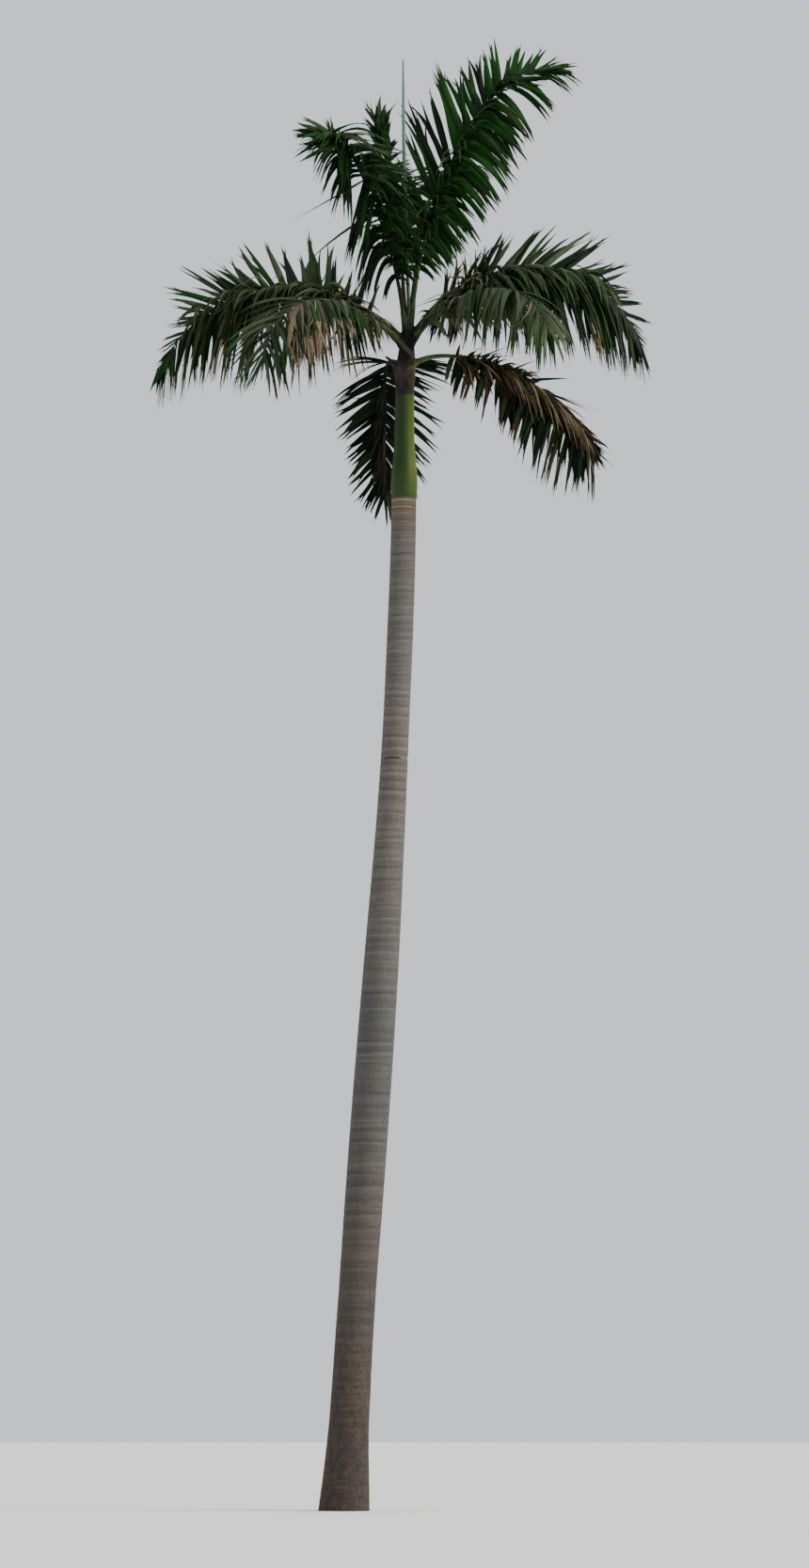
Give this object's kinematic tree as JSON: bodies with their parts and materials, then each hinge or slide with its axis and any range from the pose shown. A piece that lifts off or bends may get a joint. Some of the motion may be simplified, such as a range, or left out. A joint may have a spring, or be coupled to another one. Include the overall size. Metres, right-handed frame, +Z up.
{
  "type": "palm tree",
  "caption": "Tall single-stemmed feather palm with a ringed grey trunk that leans a little, a smooth green crownshaft and a crown of arching fronds around one unopened spear leaf.",
  "frame": {"origin": "middle of the flat cut under the trunk, at ground level", "axes": "+Z up; the trunk leans towards +X; -Y is the side the picture was taken from"},
  "size_m": [5.9438, 3.4138, 16.3937],
  "materials": {
    "bark": "rough grey-beige bark",
    "shaft_green": "smooth waxy green",
    "heart_brown": "scurfy brown over green",
    "spear_green": "smooth pale green",
    "stalk_green": "smooth green, fibrous inside",
    "blade_green": "satin deep green leaflets with dry tan tips"
  },
  "bodies": {
    "root": {"trunk": "bark", "crownshaft": "shaft_green", "crown_heart": "heart_brown", "spear_leaf": "spear_green", "frond_upper_right_stalk": "stalk_green", "frond_upper_right_inner": "blade_green", "frond_upper_right_outer": "blade_green", "frond_upper_left_stalk": "stalk_green", "frond_upper_left_inner": "blade_green", "frond_upper_left_outer": "blade_green", "frond_upper_back_stalk": "stalk_green", "frond_upper_back_inner": "blade_green", "frond_upper_back_outer": "blade_green", "frond_upper_back_right_stalk": "stalk_green", "frond_upper_back_right_inner": "blade_green", "frond_upper_back_right_outer": "blade_green", "frond_left_stalk": "stalk_green", "frond_left_inner": "blade_green", "frond_left_outer": "blade_green", "frond_left_front_stalk": "stalk_green", "frond_left_front_inner": "blade_green", "frond_left_front_outer": "blade_green", "frond_right_stalk": "stalk_green", "frond_right_inner": "blade_green", "frond_right_outer": "blade_green", "frond_right_front_stalk": "stalk_green", "frond_right_front_inner": "blade_green", "frond_right_front_outer": "blade_green", "frond_lower_right_stalk": "stalk_green", "frond_lower_right_inner": "blade_green", "frond_lower_right_outer": "blade_green", "frond_hanging_back_stalk": "stalk_green", "frond_hanging_back_inner": "blade_green", "frond_hanging_back_outer": "blade_green"}
  },
  "joints": []
}
